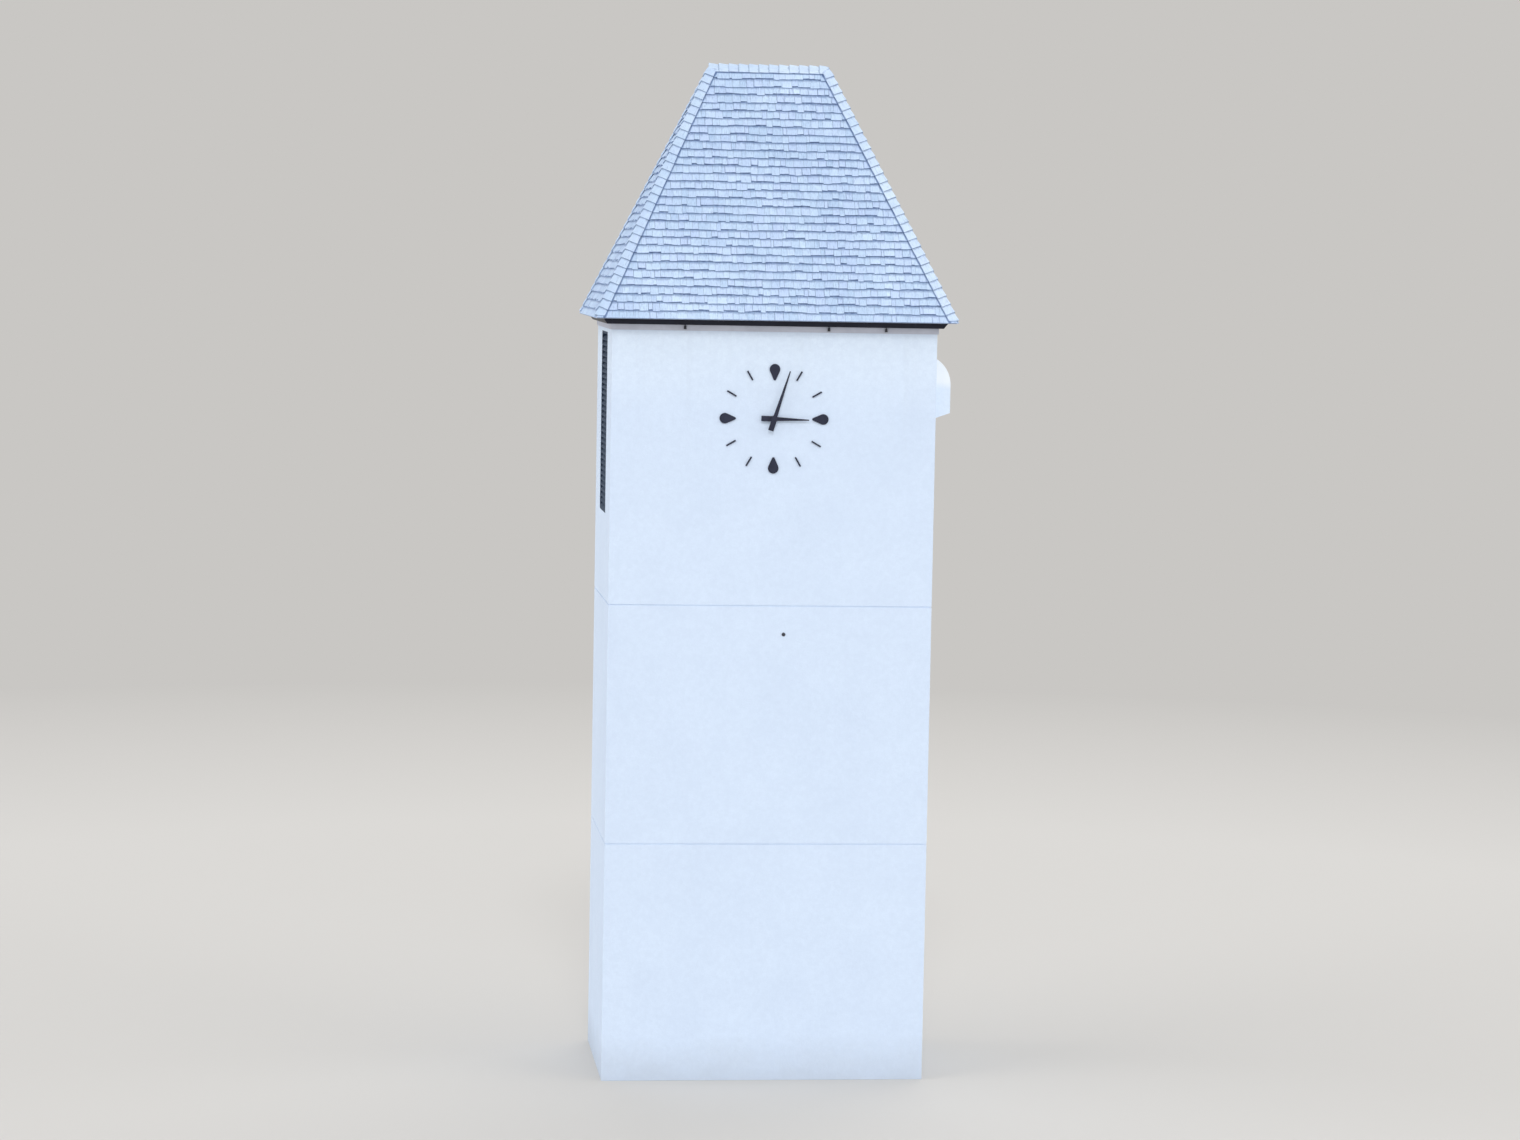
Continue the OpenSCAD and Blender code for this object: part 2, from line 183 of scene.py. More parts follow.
def startShapeTree(name, inputs):
    tree = bpy.data.node_groups.new(name, "GeometryNodeTree")
    tree.interface.new_socket("Geometry", in_out="INPUT", socket_type="NodeSocketGeometry")
    for label, example in inputs.items():
        tree.interface.new_socket(label, in_out="INPUT", socket_type=socketKinds[type(example)])
    tree.interface.new_socket("Geometry", in_out="OUTPUT", socket_type="NodeSocketGeometry")
    entry = tree.nodes.new("NodeGroupInput")
    return tree, {label: Wire(tree, entry.outputs[label]) for label in inputs}


def endShapeTree(tree, geometry, material):
    realized = wireOf(tree, addNode(tree, "GeometryNodeRealizeInstances", {0: geometry}))
    finished = addNode(tree, "GeometryNodeSetMaterial", {"Geometry": realized, "Material": material})
    leave = tree.nodes.new("NodeGroupOutput")
    plug(tree, wireOf(tree, finished), leave.inputs[0])


def keepField(tree, geometry, name, value, kind="FLOAT"):
    node = addNode(tree, "GeometryNodeStoreNamedAttribute", data_type=kind, domain="POINT")
    plug(tree, geometry, node.inputs["Geometry"])
    plug(tree, name, node.inputs["Name"])
    plug(tree, value, node.inputs["Value"])
    return wireOf(tree, node)


def keepFields(tree, geometry, fields):
    for name, value in fields.items():
        geometry = keepField(tree, geometry, name, value)
    return geometry


def readField(tree, name, kind="FLOAT"):
    return wireOf(tree, addNode(tree, "GeometryNodeInputNamedAttribute", {"Name": name}, data_type=kind))


def randomField(tree, low, high, identity, seed):
    node = addNode(tree, "FunctionNodeRandomValue", data_type="FLOAT")
    for socket, value in ((2, low), (3, high), ("ID", identity), ("Seed", seed)):
        plug(tree, value, node.inputs[socket])
    return wireOf(tree, node, 1)


# One block for each number, with its own corner coordinates from 0 to 1 kept as blockCorner
def countedBlocks(tree, count, cuts):
    points = wireOf(tree, addNode(tree, "GeometryNodePoints", {"Count": count}))
    numbered = keepField(tree, points, "blockNumber", wireOf(tree, addNode(tree, "GeometryNodeInputIndex")))
    block = addNode(tree, "GeometryNodeMeshCube", {
        "Size": (1.0, 1.0, 1.0), "Vertices X": cuts[0], "Vertices Y": cuts[1], "Vertices Z": cuts[2]})
    corner = wireOf(tree, addNode(tree, "GeometryNodeInputPosition")).plus((0.5, 0.5, 0.5))
    marked = keepField(tree, wireOf(tree, block), "blockCorner", corner, "FLOAT_VECTOR")
    spread = addNode(tree, "GeometryNodeInstanceOnPoints", {"Points": numbered, "Instance": marked})
    return wireOf(tree, addNode(tree, "GeometryNodeRealizeInstances", {0: wireOf(tree, spread)}))


# Keeps the new place as an attribute first, so that every point is worked out before any point moves
def movePoints(tree, geometry, place):
    kept = keepField(tree, geometry, "laidPlace", place, "FLOAT_VECTOR")
    return wireOf(tree, addNode(tree, "GeometryNodeSetPosition", {
        "Geometry": kept, "Position": readField(tree, "laidPlace", "FLOAT_VECTOR")}))


# Runs a tree once and keeps the result as a plain mesh at the origin
def growPiece(name, tree, settings):
    carrier = bpy.data.objects.new(name + "Carrier", bpy.data.meshes.new(name + "Carrier"))
    modifier = carrier.modifiers.new("shape", "NODES")
    modifier.node_group = tree
    sockets = {item.name: item.identifier for item in tree.interface.items_tree if item.in_out == "INPUT"}
    for label, value in settings.items():
        modifier[sockets[label]] = value
    scene.collection.objects.link(carrier)
    bpy.context.view_layer.update()
    evaluated = carrier.evaluated_get(bpy.context.evaluated_depsgraph_get())
    mesh = bpy.data.meshes.new_from_object(evaluated)
    mesh.name = name
    carrier.modifiers.remove(modifier)
    bpy.data.objects.remove(carrier)
    piece = bpy.data.objects.new(name, mesh)
    scene.collection.objects.link(piece)
    return piece


# Shader groups that several finishes share

def startFinishGroup(name, inputs, outputs):
    tree = bpy.data.node_groups.new(name, "ShaderNodeTree")
    for label, value in inputs.items():
        socket = tree.interface.new_socket(label, in_out="INPUT", socket_type=socketKinds[type(value)])
        socket.default_value = value
    for label in outputs:
        tree.interface.new_socket(label, in_out="OUTPUT", socket_type="NodeSocketFloat")
    entry = tree.nodes.new("NodeGroupInput")
    leave = tree.nodes.new("NodeGroupOutput")
    return tree, {label: Wire(tree, entry.outputs[label]) for label in inputs}, leave


# Marks that rain leaves on an upright face, long in height and short across
def makeRainMarks():
    inputs = {"Place": (0.0, 0.0, 0.0), "Across": 3.0, "Down": 0.12, "Sharpness": 2.0}
    tree, given, leave = startFinishGroup("rainMarks", inputs, ["Marks"])
    x, y, z = splitVector(tree, given["Place"])
    stretched = joinVector(tree, x * given["Across"], y * given["Across"], z * given["Down"])
    marks = (noiseOf(tree, stretched, 1.0, 4.0, 0.6) - 0.5) * given["Sharpness"] + 0.5
    plug(tree, marks.atMost(1.0).atLeast(0.0), leave.inputs["Marks"])
    return tree


# Split wood grain that runs along the second axis of the place that it is given
def makeWoodGrain():
    inputs = {"Place": (0.0, 0.0, 0.0), "Across": 90.0, "Along": 4.0, "Blotches": 5.0}
    tree, given, leave = startFinishGroup("woodGrain", inputs, ["Grain", "Patches"])
    x, y, z = splitVector(tree, given["Place"])
    stretched = joinVector(tree, x * given["Across"], y * given["Along"], z * given["Across"])
    plug(tree, noiseOf(tree, stretched, 1.0, 4.0, 0.65), leave.inputs["Grain"])
    plug(tree, noiseOf(tree, given["Place"], given["Blotches"], 3.0, 0.6), leave.inputs["Patches"])
    return tree


rainMarks = makeRainMarks()
woodGrain = makeWoodGrain()


# Finishes

def startFinish(name, roughness, metallic=0.0, sheen=0.5):
    material = bpy.data.materials.new(name)
    material.use_nodes = True
    tree = material.node_tree
    shader = tree.nodes["Principled BSDF"]
    shader.inputs["Roughness"].default_value = roughness
    shader.inputs["Metallic"].default_value = metallic
    shader.inputs["Specular IOR Level"].default_value = sheen
    place = wireOf(tree, tree.nodes.new("ShaderNodeTexCoord"), "Object")
    return material, tree, shader, place


def endFinish(tree, shader, colour, roughness, normal):
    plug(tree, colour, shader.inputs["Base Color"])
    plug(tree, roughness, shader.inputs["Roughness"])
    plug(tree, normal, shader.inputs["Normal"])


def useGroup(tree, group, **values):
    node = addNode(tree, "ShaderNodeGroup", node_tree=group)
    for label, value in values.items():
        plug(tree, value, node.inputs[label])
    return node


def mixColours(tree, share, first, second):
    node = addNode(tree, "ShaderNodeMix", data_type="RGBA")
    plug(tree, share, node.inputs["Factor"])
    plug(tree, first, node.inputs[6])
    plug(tree, second, node.inputs[7])
    return wireOf(tree, node, 2)


def attributeWire(tree, name, output="Fac"):
    return wireOf(tree, addNode(tree, "ShaderNodeAttribute", attribute_name=name), output)


def bumpOf(tree, height, strength, distance):
    return wireOf(tree, addNode(tree, "ShaderNodeBump", {
        "Height": height, "Strength": strength, "Distance": distance}), "Normal")


# A noise keeps mostly between 0.3 and 0.7, so the ramps below start and end there

stuccoLook = {
    "clean": paint(215, 230, 250),
    "shade": paint(208, 223, 244),
    "grain": paint(196, 211, 233),
    # the colour of rain marks and splashes, and of the painted shade under the frieze
    "dampAndShade": paint(170, 178, 190),
    # the paler tone below is painted light for the wall under the eave
    "paintedEaveLight": paint(224, 238, 254),
    "roughness": 0.88,
    "clouds": (0.45, 3.0, 0.5),  # a noise has its scale, its detail and its roughness
    "trowel": (1.7, 4.0, 0.55),
    "floated": (11.0, 3.0, 0.6),
    "sand": (85.0, 2.0, 0.65),
    "shadeShare": 0.6,
    "grainShare": 0.3,
    "eaveLightFrom": 1.6,  # below the frieze board
    "eaveLightTo": 0.25,
    "eaveLightShare": 0.9,
    "rain": {"Across": 2.6, "Down": 0.10, "Sharpness": 2.4},
    "rainReach": 3.0,
    "rainShare": 0.22,
    "cornerShadeReach": 0.12,
    "cornerShadeWander": 0.05,
    "cornerShadeShare": 0.08,
    "splashHeight": 0.9,
    "splashWander": 0.8,
    "splashShare": 0.42,
    "trowelDepth": 0.8,
    "floatDepth": 0.36,
    "sandDepth": 0.34,
    "bumpStrength": 0.5,
    "bumpDepth": 0.02,
}
# The bay's stucco is a paler copy of the wall's, painted light that makes up for the lesser light that
# reaches the bay beside the shaft
bayPaintedLightLook = {
    **stuccoLook,
    "clean": paint(227, 240, 254),
    "shade": paint(220, 233, 249),
    "grain": paint(209, 222, 241),
    "paintedEaveLight": paint(227, 240, 254),
    # a painted highlight on the rounded crown
    "paintedCrownHighlight": paint(244, 249, 253),
    "crownHighlightFrom": 0.48,  # as shares of the height of the bay
    "crownHighlightTo": 0.60,
    "crownHighlightWander": 0.1,
    "crownHighlightShare": 0.85,
}


def makeStucco(name, look):
    material, tree, shader, place = startFinish(name, look["roughness"])
    height = splitVector(tree, place)[2]
    clouds = noiseOf(tree, place, *look["clouds"])
    trowel = noiseOf(tree, place, *look["trowel"])
    floated = noiseOf(tree, place, *look["floated"])
    sand = noiseOf(tree, place, *look["sand"])
    uneven = trowel - 0.5
    shade = clouds.mixTo(trowel, 0.5).ramp(0.38, 0.66, 0.0, look["shadeShare"])
    body = mixColours(tree, shade, look["clean"], look["shade"])
    # Painted light: under the eave the wall is painted paler, against the shade that the overhang casts
    # there
    frieze = tower["friezeFoot"]
    eaveLight = height.ramp(
        frieze - look["eaveLightFrom"], frieze - look["eaveLightTo"], 0.0, look["eaveLightShare"])
    body = mixColours(tree, eaveLight, body, look["paintedEaveLight"])
    grain = sand.mixTo(floated, 0.5).ramp(0.42, 0.62, look["grainShare"], 0.0)
    body = mixColours(tree, grain, body, look["grain"])
    # Painted highlight: the rounded crown of the bay is painted paler, where its curve catches the light
    if "paintedCrownHighlight" in look:
        share = (height + uneven * look["crownHighlightWander"] - tower["bayFoot"]) / tower["bayHeight"]
        paintedCrownHighlight = share.ramp(look["crownHighlightFrom"], look["crownHighlightTo"], 0.0, look["crownHighlightShare"])
        body = mixColours(tree, paintedCrownHighlight, body, look["paintedCrownHighlight"])
    # Rain marks run down from the eave and fade out within a few metres
    marks = wireOf(tree, useGroup(tree, rainMarks, Place=place, **look["rain"]))
    fade = height.ramp(tower["eaveZ"] - look["rainReach"], tower["eaveZ"])
    body = mixColours(tree, (marks - 0.5).atLeast(0.0) * fade * look["rainShare"], body, look["dampAndShade"])
    # Painted shade, with some dust, darkens the corner under the frieze board
    corner = height + uneven * look["cornerShadeWander"]
    corner = corner.ramp(frieze - look["cornerShadeReach"], frieze, 0.0, look["cornerShadeShare"])
    body = mixColours(tree, corner, body, look["dampAndShade"])
    # Rain splashes the foot of the shaft
    splash = height + uneven * look["splashWander"]
    splash = splash.ramp(0.0, look["splashHeight"], look["splashShare"], 0.0)
    body = mixColours(tree, splash, body, look["dampAndShade"])
    rough = sand.ramp(0.3, 0.7, look["roughness"] - 0.06, look["roughness"] + 0.07)
    relief = trowel * look["trowelDepth"] + floated * look["floatDepth"] + sand * look["sandDepth"]
    endFinish(tree, shader, body, rough, bumpOf(tree, relief, look["bumpStrength"], look["bumpDepth"]))
    return material


woodLook = {
    "roughness": 0.8,
    "figure": {"Across": 70.0, "Along": 3.0, "Blotches": 6.0},
    "drift": (0.6, 3.0, 0.55),
    "tatter": (13.0, 3.0, 0.6),
    "toneShare": 0.38,
    "driftShare": 0.37,
    "patchShare": 0.25,
    "lavenderShare": 0.6,
    "darkGrainShare": 0.42,
    "paleGrainShare": 0.35,
    "tatterReach": 0.14,  # how far the painted shade and dirt under a butt come and go
    "tatterLeft": 0.55,
    "edgeWander": 0.025,
    "buttReach": 0.006,
    "buttShare": 0.7,
    "jointReach": 0.014,
    "jointShares": (0.05, 0.9),  # most joints are tight and pale
    "capShadeLine": (0.012, 0.040),  # the painted shade line along a cap is full to the first, gone at the second
    "bumpStrength": 0.6,
    "bumpDepth": 0.008,
}
shingleLook = {
    **woodLook,
    "pale": paint(204, 225, 249),
    "mid": paint(166, 191, 223),
    "lavender": paint(188, 206, 240),
    # the dark colour serves the grain and the painted shade under butts and beside caps
    "dark": paint(72, 100, 150),
    "shadeReach": 0.060,
    "shadeShare": 0.92,
}
capLook = {
    **woodLook,
    "pale": paint(209, 227, 247),
    "mid": paint(176, 201, 232),
    "lavender": paint(190, 209, 240),
    "dark": paint(94, 114, 149),
    "shadeReach": 0.028,
    "shadeShare": 0.7,
}


# Each board carries its own tone, its own grain, and how far a point is from the edge that shades it
def makeShingleWood(name, look):
    material, tree, shader, place = startFinish(name, look["roughness"])
    tone = attributeWire(tree, "woodTone")
    hue = attributeWire(tree, "woodHue")
    overhead = attributeWire(tree, "belowNext")
    beside = attributeWire(tree, "besideEdge")
    fromButt = attributeWire(tree, "fromButt")
    fromSide = attributeWire(tree, "fromSide")
    wood = useGroup(tree, woodGrain, Place=attributeWire(tree, "woodPlace", "Vector"), **look["figure"])
    grain = wireOf(tree, wood, "Grain")
    patches = wireOf(tree, wood, "Patches")
    drift = noiseOf(tree, place, *look["drift"]).ramp(0.35, 0.65, 0.0, look["driftShare"])
    light = tone * look["toneShare"] + drift + patches.ramp(0.3, 0.7, 0.0, look["patchShare"])
    body = mixColours(tree, light.atMost(1.0), look["mid"], look["pale"])
    body = mixColours(tree, hue.ramp(0.35, 1.0, 0.0, look["lavenderShare"]), body, look["lavender"])
    body = mixColours(tree, grain.ramp(0.52, 0.72, 0.0, look["darkGrainShare"]), body, look["dark"])
    body = mixColours(tree, grain.ramp(0.30, 0.44, look["paleGrainShare"], 0.0), body, look["pale"])
    # Painted shade, with damp dirt, darkens the wood under the next butt and along the edges of the caps;
    # the wood is also darkened at its own butt and beside a joint
    tatter = noiseOf(tree, place, *look["tatter"])
    wander = (patches - 0.5) * look["edgeWander"]
    under = overhead + wander + (tatter - 0.5) * look["tatterReach"]
    under = under.ramp(0.0, look["shadeReach"], 1.0, 0.0)
    end = fromButt.ramp(0.0, look["buttReach"], look["buttShare"], 0.0)
    joint = fromSide.ramp(0.0, look["jointReach"], 1.0, 0.0) * hue.ramp(0.78, 0.96, *look["jointShares"])
    side = (beside.maths("ABSOLUTE") + wander).ramp(*look["capShadeLine"], 1.0, 0.0)
    fullness = patches.ramp(0.35, 0.6, 0.75, 1.0) * look["shadeShare"]
    broken = under.atLeast(end).atLeast(joint) * tatter.ramp(0.36, 0.56, look["tatterLeft"], 1.0)
    body = mixColours(tree, broken.atLeast(side) * fullness, body, look["dark"])
    rough = grain.ramp(0.3, 0.7, look["roughness"] - 0.1, look["roughness"] + 0.12)
    endFinish(tree, shader, body, rough, bumpOf(tree, grain, look["bumpStrength"], look["bumpDepth"]))
    return material


boardLook = {
    "figure": {"Across": 20.0, "Along": 20.0, "Blotches": 3.0},
    "wornShare": 0.8,
    "bumpStrength": 0.25,
    "bumpDepth": 0.003,
}
boards = {
    "roofDeckBoard": {"colour": paint(104, 106, 120), "worn": paint(78, 80, 94), "roughness": 0.8},
    "plateTimber": {"colour": paint(176, 140, 98), "worn": paint(140, 108, 74), "roughness": 0.75},
    "soffitPaint": {"colour": paint(200, 203, 214), "worn": paint(182, 184, 196), "roughness": 0.65},
    "friezePaint": {"colour": paint(200, 204, 218), "worn": paint(184, 188, 202), "roughness": 0.65},
}


def makeBoard(name, colour, worn, roughness):
    material, tree, shader, place = startFinish(name, roughness)
    wood = useGroup(tree, woodGrain, Place=place, **boardLook["figure"])
    grain = wireOf(tree, wood, "Grain")
    patches = wireOf(tree, wood, "Patches")
    body = mixColours(tree, patches.ramp(0.35, 0.7, 0.0, boardLook["wornShare"]), colour, worn)
    rough = patches.ramp(0.3, 0.7, roughness - 0.08, roughness + 0.15)
    bump = bumpOf(tree, grain, boardLook["bumpStrength"], boardLook["bumpDepth"])
    endFinish(tree, shader, body, rough, bump)
    return material


metalLook = {
    "cloud": (3.5, 4.0, 0.6),
    "speckle": (40.0, 2.0, 0.6),
    "runs": {"Across": 14.0, "Down": 1.2, "Sharpness": 2.5},
    "cloudShare": 0.4,
    "runShare": 0.5,
    "bumpStrength": 0.12,
    "bumpDepth": 0.002,
}
metals = {
    "fasciaPaint": {
        "colour": paint(17, 18, 33), "dusty": paint(34, 36, 52), "roughness": 0.55, "sheen": 0.25},
    "louvrePaint": {
        "colour": paint(62, 76, 96), "dusty": paint(76, 89, 107), "roughness": 0.75, "sheen": 0.1},
    "clockPaint": {
        "colour": paint(32, 36, 56), "dusty": paint(52, 56, 78), "roughness": 0.5, "sheen": 0.3},
    "fittingPaint": {
        "colour": paint(34, 35, 44), "dusty": paint(62, 64, 74), "roughness": 0.5},
    "sleevePaint": {
        "colour": paint(196, 208, 224), "dusty": paint(168, 178, 192), "roughness": 0.5, "sheen": 0.3},
    "arborSteel": {
        "colour": paint(150, 154, 162), "dusty": paint(120, 122, 128), "roughness": 0.3, "metallic": 0.9},
    "dripEdgePaint": {
        "colour": paint(224, 226, 238), "dusty": paint(196, 198, 210), "roughness": 0.4},
}


def makeMetalPaint(name, colour, dusty, roughness, metallic=0.0, sheen=0.5):
    material, tree, shader, place = startFinish(name, roughness, metallic, sheen)
    cloud = noiseOf(tree, place, *metalLook["cloud"])
    speckle = noiseOf(tree, place, *metalLook["speckle"])
    runs = wireOf(tree, useGroup(tree, rainMarks, Place=place, **metalLook["runs"]))
    settled = cloud.ramp(0.4, 0.7, 0.0, metalLook["cloudShare"])
    dust = (settled + (runs - 0.5).atLeast(0.0) * metalLook["runShare"]).atMost(1.0)
    rough = speckle.mixTo(dust, 0.5).ramp(0.2, 0.8, roughness - 0.1, roughness + 0.2)
    bump = bumpOf(tree, speckle, metalLook["bumpStrength"], metalLook["bumpDepth"])
    endFinish(tree, shader, mixColours(tree, dust, colour, dusty), rough, bump)
    return material


finishes = {
    "sandedStucco": makeStucco("sandedStucco", stuccoLook),
    "bayStuccoPaintedLight": makeStucco("bayStuccoPaintedLight", bayPaintedLightLook),
    "silverShingle": makeShingleWood("silverShingle", shingleLook),
    "paleCapShingle": makeShingleWood("paleCapShingle", capLook),
}
for name, look in boards.items():
    finishes[name] = makeBoard(name, **look)
for name, look in metals.items():
    finishes[name] = makeMetalPaint(name, **look)

sides = ["front", "back", "left", "right"]
corners = ["front_left", "front_right", "back_left", "back_right"]
solidsByFinish = {
    "sandedStucco": [side + "_wall" for side in sides],
    "bayStuccoPaintedLight": ["right_bay"],
    "roofDeckBoard": ["roof_" + side for side in sides],
    "plateTimber": ["wall_plate_" + side for side in sides],
    "soffitPaint": ["soffit_" + side for side in sides],
    "friezePaint": ["frieze_" + side for side in sides],
    "fasciaPaint": ["fascia_" + side for side in sides],
    "louvrePaint": ["louvre_frame", "louvre_blades"],
    "clockPaint": ["quarter_markers", "hour_markers", "hour_hand", "minute_hand"],
    "fittingPaint": ["eave_lights", "wall_vent"],
    "sleevePaint": ["wall_sleeve"],
    "arborSteel": ["hour_tube", "minute_arbor"],
    "paleCapShingle": ["ridge_cap"] + ["hip_cap_" + corner for corner in corners],
}
for finish, names in solidsByFinish.items():
    for name in names:
        for slot in nodes[name].material_slots:
            slot.material = finishes[finish]
print("finishes: done")


# Slopes of the roof, each with its own axes: along the eave, up the slope and out of it

upright = Vector((0, 0, 1))
halfX = tower["eaveHalfX"]
halfY = tower["eaveHalfY"]
slopes = {
    "front": {"half": halfX, "reach": halfY, "out": Vector((0, -1, 0)), "seed": 11},
    "right": {"half": halfY, "reach": halfX, "out": Vector((1, 0, 0)), "seed": 23},
    "back": {"half": halfX, "reach": halfY, "out": Vector((0, 1, 0)), "seed": 37},
    "left": {"half": halfY, "reach": halfX, "out": Vector((-1, 0, 0)), "seed": 53},
}
for slope in slopes.values():
    slope["origin"] = slope["out"] * slope["reach"] + upright * tower["eaveZ"]
    slope["along"] = upright.cross(slope["out"])
    slope["up"] = upright * tower["sinPitch"] - slope["out"] * tower["cosPitch"]
    slope["normal"] = slope["out"] * tower["sinPitch"] + upright * tower["cosPitch"]


# Shingles, in courses, with joints that wander from course to course

shingles = {
    "Rows": 31,
    "Exposure": 0.178,
    "Average Width": 0.150,
    "Jitter": 0.36,
    "Butt": 0.024,
    "Coverage": 1.36,
    "Tip Thickness": 0.003,
    "Eave Overhang": 0.012,
    "Side Gap": 0.003,
    "Hip Margin": 0.012,
    "Wave": 0.022,
    "Cup": 0.003,
    "Cap Wing": 0.145,
    "Ridge Wing": 0.115,
}
shingleHabits = {
    "cuts": (3, 3, 2),  # points along each side of a block
    "startBefore": 1.5,  # widths by which the first joint lies outside the hip
    "spareColumns": 4,
    "buttShares": (0.86, 1.14),  # least and most, as shares of the size above
    "cupShares": (-2.0, 4.0),
    "waveAcross": 0.9,
    "waveRow": 3.7,
    "waveSeed": 1.3,
    "drawsPerRow": 400.0,  # more than a course has joints
    "least": 0.004,  # kept clear of the ridge, and left where two hips meet
    "narrowest": 0.03,  # a narrower sliver at the hip is left out
}
ownGrain = {
    "spread": 40.0,
    "slide": 0.37,
}


# Takes each board's grain from a place of its own in the pattern
def keepGrain(tree, geometry, across, along, height, identity, seed):
    shift = randomField(tree, 0.0, ownGrain["spread"], identity, seed)
    place = joinVector(tree, across + shift, along + shift * ownGrain["slide"], height)
    return keepField(tree, geometry, "woodPlace", place, "FLOAT_VECTOR")


def makeShingleTree():
    habits = shingleHabits
    settings = {
        **shingles, "Columns": 1, "Half Eave": 1.0, "Inset": 1.0, "Slope Length": 1.0, "Hip Sine": 1.0}
    axes = {label: (0.0, 0.0, 0.0) for label in ("Origin", "Along", "Up", "Normal")}
    tree, given = startShapeTree("shingleCourses", {**settings, **axes, "Seed": 1, "Material": "wood"})
    blocks = countedBlocks(tree, given["Rows"] * given["Columns"], habits["cuts"])
    number = readField(tree, "blockNumber")
    across, upShare, depth = splitVector(tree, readField(tree, "blockCorner", "FLOAT_VECTOR"))
    row = ((number + 0.5) / given["Columns"]).maths("FLOOR")
    column = number - row * given["Columns"]
    aboveFirst = row.atMost(1.0)
    seed = given["Seed"]
    rowStart = randomField(tree, 0.0, 1.0, row, seed + 7)
    firstJoint = given["Half Eave"] * -1.0 - given["Average Width"] * habits["startBefore"]

    def jointAt(place):
        identity = row * habits["drawsPerRow"] + place
        wander = randomField(tree, given["Jitter"] * -1.0, given["Jitter"], identity, seed)
        return firstJoint + (place + rowStart + wander) * given["Average Width"]

    leftJoint = jointAt(column) + given["Side Gap"] * 0.5
    rightJoint = jointAt(column + 1.0) - given["Side Gap"] * 0.5
    middle = (leftJoint + rightJoint) * 0.5
    sideways = leftJoint.mixTo(rightJoint, across)

    # A slow wave along the course, and a small step and lean of each shingle's own
    def waveAt(x, course):
        place = joinVector(
            tree, x * habits["waveAcross"], course * habits["waveRow"], seed * habits["waveSeed"])
        return (noiseOf(tree, place, 1.0, 1.0, 0.4) - 0.5) * 2.0 * given["Wave"]

    step = randomField(tree, -1.0, 1.0, number, seed + 1) * given["Wave"]
    lean = randomField(tree, -0.5, 0.5, number, seed + 5) * given["Wave"] * (across - 0.5)
    startLine = row * given["Exposure"] - given["Eave Overhang"]
    butt = startLine + (waveAt(middle, row) + step + lean) * aboveFirst
    nextButt = startLine + given["Exposure"] + waveAt(sideways, row + 1.0)
    length = given["Exposure"] * given["Coverage"]
    upSlope = (butt + length * upShare).atMost(given["Slope Length"] - habits["least"])
    reach = (given["Half Eave"] - given["Hip Margin"] - upSlope * given["Inset"]).atLeast(habits["least"])
    clipped = sideways.atMost(reach).atLeast(reach * -1.0)

    # The lowest course is doubled, so its underside lies on the roof boards
    thickness = given["Butt"] * randomField(tree, *habits["buttShares"], number, seed + 2)
    topAtButt = given["Tip Thickness"] + given["Butt"] * given["Coverage"]
    top = topAtButt.mixTo(given["Tip Thickness"], upShare)
    under = (topAtButt - thickness) * upShare.rest() * aboveFirst
    cup = randomField(tree, *habits["cupShares"], number, seed + 3)
    bend = (across - 0.5) * (across - 0.5) * cup * given["Cup"]
    height = under.mixTo(top, depth) + bend * upShare.rest() * aboveFirst
    place = given["Origin"].plus(given["Along"].times(clipped)).plus(given["Up"].times(upSlope))
    place = place.plus(given["Normal"].times(height))

    # What is left of a shingle where the hip cuts it
    cut = (given["Half Eave"] - given["Hip Margin"] - butt * given["Inset"]).atLeast(habits["least"])
    shownRight = rightJoint.atMost(cut).atLeast(cut * -1.0)
    shownLeft = leftJoint.atMost(cut).atLeast(cut * -1.0)

    # How far a point is from the edge of the caps on the hip, or on the ridge where that is nearer
    toHip = (given["Half Eave"] - upSlope * given["Inset"] - clipped.maths("ABSOLUTE")) * given["Hip Sine"]
    toRidge = given["Slope Length"] - upSlope
    marked = keepFields(tree, blocks, {
        "shownWidth": shownRight - shownLeft,
        "woodTone": randomField(tree, 0.0, 1.0, number, seed + 4),
        "woodHue": randomField(tree, 0.0, 1.0, number, seed + 6),
        "fromButt": upSlope - butt,
        "belowNext": nextButt - upSlope,
        "fromSide": across.atMost(across.rest()) * (rightJoint - leftJoint),
        "besideEdge": (toHip - given["Cap Wing"]).atMost(toRidge - given["Ridge Wing"]),
    })
    marked = keepGrain(tree, marked, sideways, upSlope, height, number, seed + 8)
    moved = movePoints(tree, marked, place)
    narrow = readField(tree, "shownWidth").maths("LESS_THAN", habits["narrowest"])
    kept = addNode(
        tree, "GeometryNodeDeleteGeometry", {"Geometry": moved, "Selection": narrow}, domain="POINT")
    endShapeTree(tree, wireOf(tree, kept), given["Material"])
    return tree


shingleTree = makeShingleTree()


def layShingles(side):
    slope = slopes[side]
    columns = int(2 * slope["half"] / shingles["Average Width"]) + shingleHabits["spareColumns"]
    piece = growPiece("shingles_" + side, shingleTree, {
        **shingles, "Columns": columns, "Half Eave": slope["half"], "Inset": tower["cosPitch"],
        "Slope Length": tower["slopeLength"], "Hip Sine": tower["slopeLength"] / tower["hipLength"],
        "Origin": tuple(slope["origin"]), "Along": tuple(slope["along"]), "Up": tuple(slope["up"]),
        "Normal": tuple(slope["normal"]), "Seed": slope["seed"], "Material": finishes["silverShingle"],
    })
    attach(piece, "tower")
    print("shingles", side, len(piece.data.polygons), "faces")


for side in slopes:
    layShingles(side)


# Hip and ridge caps: bent pairs of boards, each lapping over the one below

